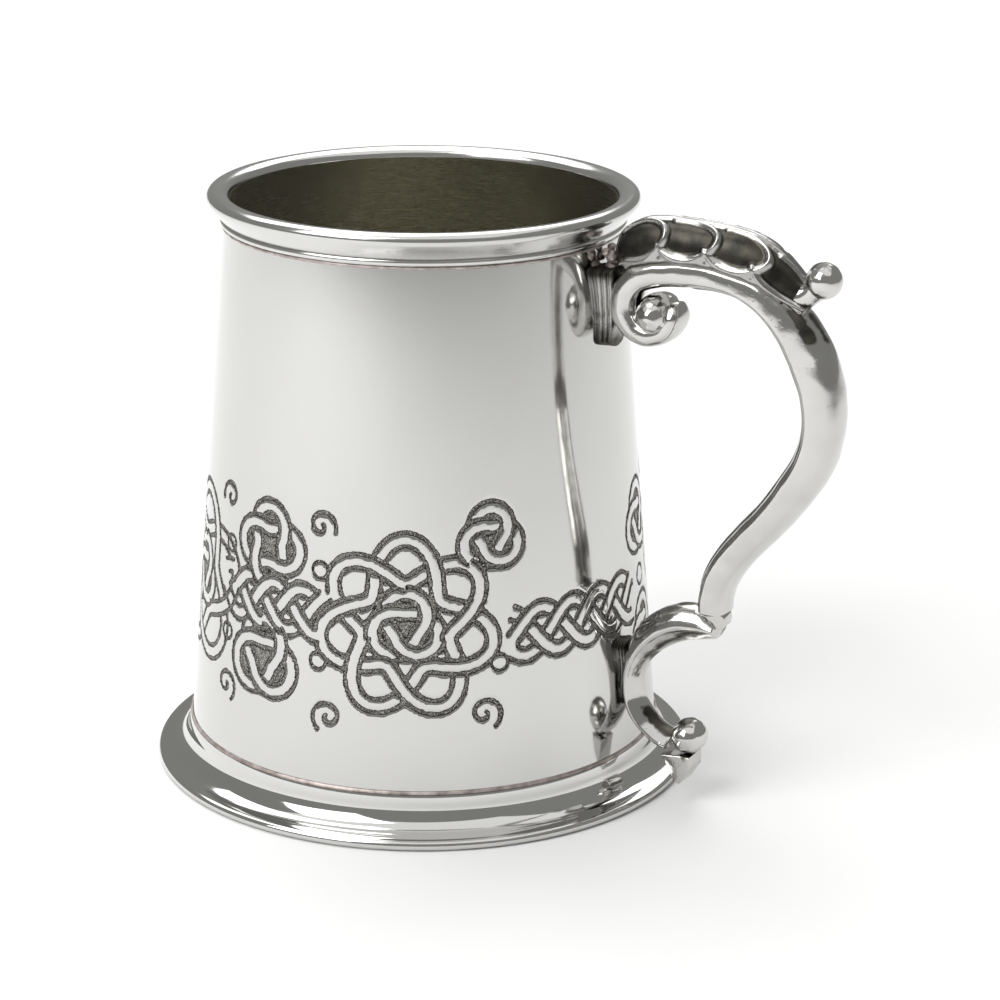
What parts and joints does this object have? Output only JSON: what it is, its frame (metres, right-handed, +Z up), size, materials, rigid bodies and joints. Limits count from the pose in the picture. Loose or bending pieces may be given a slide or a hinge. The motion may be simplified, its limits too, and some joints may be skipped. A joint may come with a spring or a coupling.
{
  "type": "pewter tankard",
  "caption": "Straight-tapered pewter tankard with rounded lip, flared foot, engraved knotwork band and a cast double-scroll handle with leaf thumb piece.",
  "frame": {"origin": "centre of the foot's rest plane, on the drum's axis", "axes": "+Z up the drum's axis, +X from the axis towards the handle, the handle's plane is XZ"},
  "size_m": [0.1416, 0.1072, 0.1151],
  "materials": {
    "drum": "mirror-polished pewter, finely brushed upright",
    "inside": "satin turned pewter",
    "lip": "satin-polished pewter",
    "foot": "polished pewter",
    "cast": "polished cast pewter with dark patina in the hollows",
    "leaf": "antiqued cast pewter with bright ridges",
    "ball": "polished cast pewter",
    "seat": "filed and ribbed cast pewter, darkened",
    "solder": "soft solder, slightly porous"
  },
  "bodies": {
    "root": {"barrel": "drum", "bottom_plate": "inside", "lip_moulding": "lip", "lip_seam": "solder", "foot_skirt": "foot", "foot_seam": "solder", "grip": "cast", "grip_bead": "seat", "upper_volute": "cast", "volute_boss": "ball", "thumb_leaf": "leaf", "thumb_ball": "ball", "scroll_collar": "cast", "lower_scroll": "cast", "lower_ball": "ball", "tail_tip": "cast", "upper_pad": "seat", "lower_pad": "seat", "rim_solder": "solder"}
  },
  "joints": []
}
